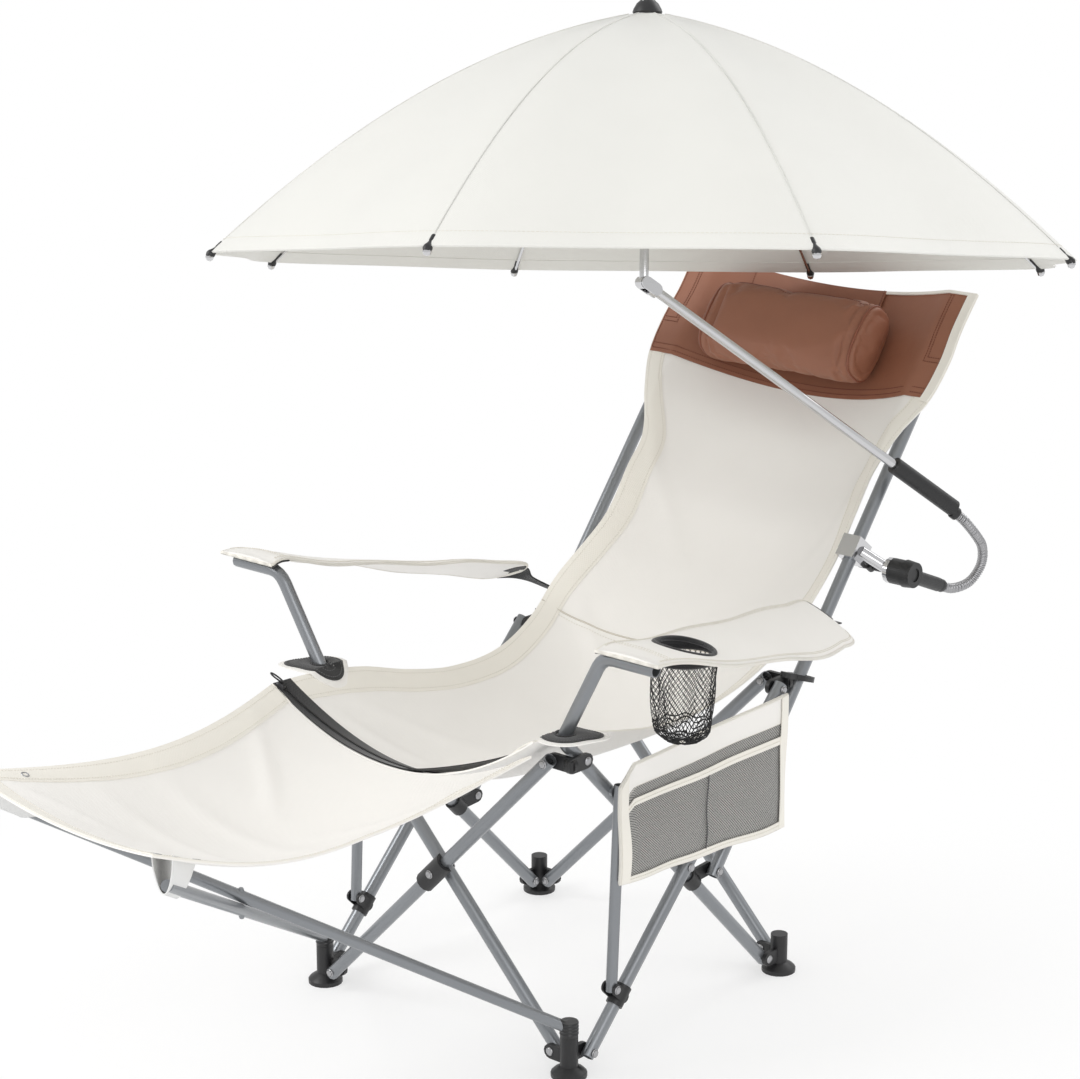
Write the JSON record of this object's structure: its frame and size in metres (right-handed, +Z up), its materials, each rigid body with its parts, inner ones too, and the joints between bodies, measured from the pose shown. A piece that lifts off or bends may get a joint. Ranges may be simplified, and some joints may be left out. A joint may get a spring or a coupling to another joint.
{
  "type": "folding lounge chair",
  "caption": "Folding lounge chair: crossed-tube frame, fabric sling seat and footrest, arm rests with net cup holder, side organizer and clamp-on umbrella on a gooseneck.",
  "frame": {"origin": "middle of the bounding box, on the ground", "axes": "+Z up; -Y the way the sitter faces, towards the footrest; +X the sitter's left, the umbrella side"},
  "size_m": [1.174, 1.606, 1.4148],
  "materials": {
    "steel": "satin",
    "chrome": "polished",
    "plastic": "matte",
    "cream_fabric": "woven",
    "brown_fabric": "woven",
    "net": "open net",
    "canopy_fabric": "woven"
  },
  "bodies": {
    "foot_front_left": {"foot_front_left": "plastic"},
    "side_tube_left": {"side_tube_left": "steel"},
    "arm_tube_left": {"arm_tube_left": "steel", "post_bracket_left": "plastic", "armrest_left": "cream_fabric", "cup_holder": "net", "side_organizer": "cream_fabric"},
    "foot_rear_left": {"foot_rear_left": "plastic"},
    "front_hub_left": {"front_hub_left": "plastic"},
    "rear_hub_left": {"rear_hub_left": "plastic"},
    "strut_slider_left": {"strut_slider_left": "plastic"},
    "strut_left": {"strut_left": "steel"},
    "back_post_left": {"back_post_left": "steel", "seat_sling": "cream_fabric", "head_pillow": "brown_fabric", "clamp_jaw": "plastic"},
    "front_tube_to_right": {"front_tube_to_right": "steel"},
    "front_tube_to_left": {"front_tube_to_left": "steel", "front_saddle": "plastic"},
    "foot_front_right": {"foot_front_right": "plastic"},
    "side_tube_right": {"side_tube_right": "steel"},
    "arm_tube_right": {"arm_tube_right": "steel", "post_bracket_right": "plastic", "armrest_right": "cream_fabric"},
    "foot_rear_right": {"foot_rear_right": "plastic"},
    "front_hub_right": {"front_hub_right": "plastic"},
    "rear_hub_right": {"rear_hub_right": "plastic"},
    "strut_slider_right": {"strut_slider_right": "plastic"},
    "strut_right": {"strut_right": "steel"},
    "back_post_right": {"back_post_right": "steel"},
    "rear_tube_to_right": {"rear_tube_to_right": "steel"},
    "rear_tube_to_left": {"rear_tube_to_left": "steel"},
    "footrest_tube_left": {"footrest_tube_left": "steel", "footrest_sling": "cream_fabric"},
    "footrest_tube_right": {"footrest_tube_right": "steel"},
    "clamp_screw": {"clamp_screw": "plastic"},
    "neck_swivel": {"neck_swivel": "plastic", "gooseneck": "chrome", "neck_grip": "plastic", "umbrella_pole": "chrome"},
    "swivel_knob": {"swivel_knob": "plastic"},
    "canopy": {"canopy_shaft": "chrome", "canopy_cover": "canopy_fabric"},
    "canopy_runner": {"canopy_runner": "plastic"},
    "rib_1": {"canopy_rib_1": "chrome"},
    "stretcher_1": {"canopy_stretcher_1": "chrome"},
    "rib_2": {"canopy_rib_2": "chrome"},
    "stretcher_2": {"canopy_stretcher_2": "chrome"},
    "rib_3": {"canopy_rib_3": "chrome"},
    "stretcher_3": {"canopy_stretcher_3": "chrome"},
    "rib_4": {"canopy_rib_4": "chrome"},
    "stretcher_4": {"canopy_stretcher_4": "chrome"},
    "rib_5": {"canopy_rib_5": "chrome"},
    "stretcher_5": {"canopy_stretcher_5": "chrome"},
    "rib_6": {"canopy_rib_6": "chrome"},
    "stretcher_6": {"canopy_stretcher_6": "chrome"},
    "rib_7": {"canopy_rib_7": "chrome"},
    "stretcher_7": {"canopy_stretcher_7": "chrome"},
    "rib_8": {"canopy_rib_8": "chrome"},
    "stretcher_8": {"canopy_stretcher_8": "chrome"}
  },
  "joints": [
    {"name": "fold", "type": "hinge", "parent": "foot_front_left", "child": "side_tube_left", "pos_m": [0.14967, -0.08502, 0.028], "axis": [1, 0, 0], "range_deg": [0, 36.5], "deforming": ["seat_sling", "head_pillow", "footrest_sling", "armrest_left", "armrest_right", "side_organizer"]},
    {"name": "arm_tube_left_turn", "type": "hinge", "parent": "side_tube_left", "child": "arm_tube_left", "pos_m": [0.12867, 0.11998, 0.23661], "axis": [1, 0, 0], "range_deg": [-73.05, 0]},
    {"name": "foot_rear_left_turn", "type": "hinge", "parent": "arm_tube_left", "child": "foot_rear_left", "pos_m": [0.12867, 0.32498, 0.028], "axis": [1, 0, 0], "range_deg": [0, 36.55]},
    {"name": "front_hub_left_turn", "type": "hinge", "parent": "arm_tube_left", "child": "front_hub_left", "pos_m": [0.12867, -0.08502, 0.44522], "axis": [1, 0, 0], "range_deg": [0, 36.55]},
    {"name": "rear_hub_left_turn", "type": "hinge", "parent": "side_tube_left", "child": "rear_hub_left", "pos_m": [0.14967, 0.32498, 0.44522], "axis": [1, 0, 0], "range_deg": [-36.55, 0]},
    {"name": "back_post_left_turn", "type": "hinge", "parent": "arm_tube_left", "child": "back_post_left", "pos_m": [0.13917, 0.19819, 0.20411], "axis": [1, 0, 0], "range_deg": [0, 65.33]},
    {"name": "strut_slider_left_slide", "type": "slide", "parent": "side_tube_left", "child": "strut_slider_left", "axis": [0, 0.7009, 0.7133], "range_m": [0, 0.12759]},
    {"name": "strut_left_turn", "type": "hinge", "parent": "strut_slider_left", "child": "strut_left", "pos_m": [0.14967, -0.03939, 0.10581], "axis": [1, 0, 0], "range_deg": [-34.39, 0]},
    {"name": "front_tube_to_right_turn", "type": "hinge", "parent": "foot_front_left", "child": "front_tube_to_right", "pos_m": [0.10917, -0.10452, 0.028], "axis": [0, 1, 0], "range_deg": [0, 36.55]},
    {"name": "front_tube_to_left_turn", "type": "hinge", "parent": "front_tube_to_right", "child": "front_tube_to_left", "pos_m": [-0.09583, -0.12552, 0.23661], "axis": [0, 1, 0], "range_deg": [-73.05, 0]},
    {"name": "foot_front_right_turn", "type": "hinge", "parent": "front_tube_to_left", "child": "foot_front_right", "pos_m": [-0.30083, -0.12552, 0.028], "axis": [0, 1, 0], "range_deg": [0, 36.55]},
    {"name": "side_tube_right_turn", "type": "hinge", "parent": "foot_front_right", "child": "side_tube_right", "pos_m": [-0.34133, -0.08502, 0.028], "axis": [1, 0, 0], "range_deg": [0, 36.55]},
    {"name": "arm_tube_right_turn", "type": "hinge", "parent": "side_tube_right", "child": "arm_tube_right", "pos_m": [-0.32033, 0.11998, 0.23661], "axis": [1, 0, 0], "range_deg": [-73.05, 0]},
    {"name": "foot_rear_right_turn", "type": "hinge", "parent": "arm_tube_right", "child": "foot_rear_right", "pos_m": [-0.32033, 0.32498, 0.028], "axis": [1, 0, 0], "range_deg": [0, 36.55]},
    {"name": "front_hub_right_turn", "type": "hinge", "parent": "arm_tube_right", "child": "front_hub_right", "pos_m": [-0.32033, -0.08502, 0.44522], "axis": [1, 0, 0], "range_deg": [0, 36.55]},
    {"name": "rear_hub_right_turn", "type": "hinge", "parent": "side_tube_right", "child": "rear_hub_right", "pos_m": [-0.34133, 0.32498, 0.44522], "axis": [1, 0, 0], "range_deg": [-36.55, 0]},
    {"name": "back_post_right_turn", "type": "hinge", "parent": "arm_tube_right", "child": "back_post_right", "pos_m": [-0.33083, 0.19819, 0.20411], "axis": [1, 0, 0], "range_deg": [0, 65.33]},
    {"name": "strut_slider_right_slide", "type": "slide", "parent": "side_tube_right", "child": "strut_slider_right", "axis": [0, 0.7009, 0.7133], "range_m": [0, 0.12759]},
    {"name": "strut_right_turn", "type": "hinge", "parent": "strut_slider_right", "child": "strut_right", "pos_m": [-0.34133, -0.03939, 0.10581], "axis": [1, 0, 0], "range_deg": [-34.39, 0]},
    {"name": "rear_tube_to_right_turn", "type": "hinge", "parent": "foot_rear_left", "child": "rear_tube_to_right", "pos_m": [0.10917, 0.36548, 0.028], "axis": [0, 1, 0], "range_deg": [0, 36.55]},
    {"name": "rear_tube_to_left_turn", "type": "hinge", "parent": "foot_rear_right", "child": "rear_tube_to_left", "pos_m": [-0.30083, 0.34448, 0.028], "axis": [0, 1, 0], "range_deg": [-36.55, 0]},
    {"name": "footrest_tube_left_turn", "type": "hinge", "parent": "foot_front_left", "child": "footrest_tube_left", "pos_m": [0.13917, -0.11502, 0.0693], "axis": [0, 0, 1], "range_deg": [0, 23.45]},
    {"name": "footrest_tube_right_turn", "type": "hinge", "parent": "foot_front_right", "child": "footrest_tube_right", "pos_m": [-0.33083, -0.11502, 0.0693], "axis": [0, 0, 1], "range_deg": [-23.45, 0]},
    {"name": "clamp_screw_turn", "type": "hinge", "parent": "back_post_left", "child": "clamp_screw", "pos_m": [0.13917, 0.51444, 0.608], "axis": [0, -0.7874, 0.6165], "range_deg": [0, 90]},
    {"name": "umbrella_swivel", "type": "hinge", "parent": "back_post_left", "child": "neck_swivel", "pos_m": [0.20417, 0.53898, 0.582], "axis": [1, 0, 0], "range_deg": [-7, 20]},
    {"name": "swivel_knob_turn", "type": "hinge", "parent": "back_post_left", "child": "swivel_knob", "pos_m": [0.20417, 0.53898, 0.582], "axis": [1, 0, 0], "range_deg": [0, 90]},
    {"name": "canopy_tilt", "type": "hinge", "parent": "neck_swivel", "child": "canopy", "pos_m": [0.00293, 0.19425, 1.03062], "axis": [-0.9303, 0.3243, -0.1713], "range_deg": [-25, 3]},
    {"name": "rib_1_fold", "type": "hinge", "parent": "canopy", "child": "rib_1", "pos_m": [-0.04928, 0.23963, 1.38491], "axis": [0.8463, -0.4982, 0.1885], "range_deg": [0, 57], "deforming": ["canopy_cover"]},
    {"name": "rib_2_fold", "type": "hinge", "parent": "canopy", "child": "rib_2", "pos_m": [-0.03916, 0.23825, 1.38643], "axis": [0.9645, 0.2506, 0.0831], "range_deg": [0, 57.05]},
    {"name": "rib_3_fold", "type": "hinge", "parent": "canopy", "child": "rib_3", "pos_m": [-0.03087, 0.24441, 1.38649], "axis": [0.5177, 0.8526, -0.071], "range_deg": [0, 57.05]},
    {"name": "rib_4_fold", "type": "hinge", "parent": "canopy", "child": "rib_4", "pos_m": [-0.02927, 0.25452, 1.38507], "axis": [-0.2323, 0.9552, -0.1835], "range_deg": [0, 57.05]},
    {"name": "rib_5_fold", "type": "hinge", "parent": "canopy", "child": "rib_5", "pos_m": [-0.03531, 0.26265, 1.38299], "axis": [-0.8463, 0.4982, -0.1885], "range_deg": [0, 57.05]},
    {"name": "rib_6_fold", "type": "hinge", "parent": "canopy", "child": "rib_6", "pos_m": [-0.04543, 0.26404, 1.38147], "axis": [-0.9645, -0.2506, -0.0831], "range_deg": [0, 57.05]},
    {"name": "rib_7_fold", "type": "hinge", "parent": "canopy", "child": "rib_7", "pos_m": [-0.05372, 0.25787, 1.3814], "axis": [-0.5177, -0.8526, 0.071], "range_deg": [0, 57.05]},
    {"name": "rib_8_fold", "type": "hinge", "parent": "canopy", "child": "rib_8", "pos_m": [-0.05532, 0.24776, 1.38283], "axis": [0.2323, -0.9552, 0.1835], "range_deg": [0, 57.05]},
    {"name": "stretcher_1_turn", "type": "hinge", "parent": "rib_1", "child": "stretcher_1", "pos_m": [-0.12212, 0.102, 1.34814], "axis": [0.8463, -0.4982, 0.1885], "range_deg": [-112.82, 0.05]},
    {"name": "stretcher_2_turn", "type": "hinge", "parent": "rib_2", "child": "stretcher_2", "pos_m": [0.00235, 0.08497, 1.36681], "axis": [0.9645, 0.2506, 0.0831], "range_deg": [-112.82, 0.05]},
    {"name": "stretcher_3_turn", "type": "hinge", "parent": "rib_3", "child": "stretcher_3", "pos_m": [0.10424, 0.1608, 1.36765], "axis": [0.5177, 0.8526, -0.071], "range_deg": [-112.82, 0.05]},
    {"name": "stretcher_4_turn", "type": "hinge", "parent": "rib_4", "child": "stretcher_4", "pos_m": [0.12385, 0.28506, 1.35015], "axis": [-0.2323, 0.9552, -0.1835], "range_deg": [-112.82, 0.05]},
    {"name": "stretcher_5_turn", "type": "hinge", "parent": "rib_5", "child": "stretcher_5", "pos_m": [0.04971, 0.38496, 1.32458], "axis": [-0.8463, 0.4982, -0.1885], "range_deg": [-112.82, 0.05]},
    {"name": "stretcher_6_turn", "type": "hinge", "parent": "rib_6", "child": "stretcher_6", "pos_m": [-0.07476, 0.40198, 1.30591], "axis": [-0.9645, -0.2506, -0.0831], "range_deg": [-112.82, 0.05]},
    {"name": "stretcher_7_turn", "type": "hinge", "parent": "rib_7", "child": "stretcher_7", "pos_m": [-0.17664, 0.32615, 1.30507], "axis": [-0.5177, -0.8526, 0.071], "range_deg": [-112.82, 0.05]},
    {"name": "stretcher_8_turn", "type": "hinge", "parent": "rib_8", "child": "stretcher_8", "pos_m": [-0.19626, 0.20189, 1.32257], "axis": [0.2323, -0.9552, 0.1835], "range_deg": [-112.82, 0.05]},
    {"name": "runner_slide", "type": "slide", "parent": "canopy", "child": "canopy_runner", "axis": [0.1254, -0.1577, -0.9795], "range_m": [0, 0.20906]}
  ],
  "couplings": [
    {"joint": "arm_tube_left_turn", "follows": "fold", "ratio": -2},
    {"joint": "foot_rear_left_turn", "follows": "fold", "ratio": 1},
    {"joint": "front_hub_left_turn", "follows": "fold", "ratio": 1},
    {"joint": "rear_hub_left_turn", "follows": "fold", "ratio": -1},
    {"joint": "back_post_left_turn", "follows": "fold", "ratio": 1.7886},
    {"joint": "strut_slider_left_slide", "follows": "fold", "m_per_rad": 0.19997},
    {"joint": "strut_left_turn", "follows": "fold", "ratio": -0.94078},
    {"joint": "front_tube_to_right_turn", "follows": "fold", "ratio": 1},
    {"joint": "front_tube_to_left_turn", "follows": "fold", "ratio": -2},
    {"joint": "foot_front_right_turn", "follows": "fold", "ratio": 1},
    {"joint": "side_tube_right_turn", "follows": "fold", "ratio": 1},
    {"joint": "arm_tube_right_turn", "follows": "fold", "ratio": -2},
    {"joint": "foot_rear_right_turn", "follows": "fold", "ratio": 1},
    {"joint": "front_hub_right_turn", "follows": "fold", "ratio": 1},
    {"joint": "rear_hub_right_turn", "follows": "fold", "ratio": -1},
    {"joint": "back_post_right_turn", "follows": "fold", "ratio": 1.7886},
    {"joint": "strut_slider_right_slide", "follows": "fold", "m_per_rad": 0.19997},
    {"joint": "strut_right_turn", "follows": "fold", "ratio": -0.94078},
    {"joint": "rear_tube_to_right_turn", "follows": "fold", "ratio": 1},
    {"joint": "rear_tube_to_left_turn", "follows": "fold", "ratio": -1},
    {"joint": "footrest_tube_left_turn", "follows": "fold", "ratio": 0.6411},
    {"joint": "footrest_tube_right_turn", "follows": "fold", "ratio": -0.6411},
    {"joint": "rib_2_fold", "follows": "rib_1_fold", "ratio": 1},
    {"joint": "rib_3_fold", "follows": "rib_1_fold", "ratio": 1},
    {"joint": "rib_4_fold", "follows": "rib_1_fold", "ratio": 1},
    {"joint": "rib_5_fold", "follows": "rib_1_fold", "ratio": 1},
    {"joint": "rib_6_fold", "follows": "rib_1_fold", "ratio": 1},
    {"joint": "rib_7_fold", "follows": "rib_1_fold", "ratio": 1},
    {"joint": "rib_8_fold", "follows": "rib_1_fold", "ratio": 1},
    {"joint": "stretcher_1_turn", "follows": "rib_1_fold", "ratio": -1.9784},
    {"joint": "stretcher_2_turn", "follows": "rib_1_fold", "ratio": -1.9784},
    {"joint": "stretcher_3_turn", "follows": "rib_1_fold", "ratio": -1.9784},
    {"joint": "stretcher_4_turn", "follows": "rib_1_fold", "ratio": -1.9784},
    {"joint": "stretcher_5_turn", "follows": "rib_1_fold", "ratio": -1.9784},
    {"joint": "stretcher_6_turn", "follows": "rib_1_fold", "ratio": -1.9784},
    {"joint": "stretcher_7_turn", "follows": "rib_1_fold", "ratio": -1.9784},
    {"joint": "stretcher_8_turn", "follows": "rib_1_fold", "ratio": -1.9784},
    {"joint": "runner_slide", "follows": "rib_1_fold", "m_per_rad": 0.20985}
  ]
}
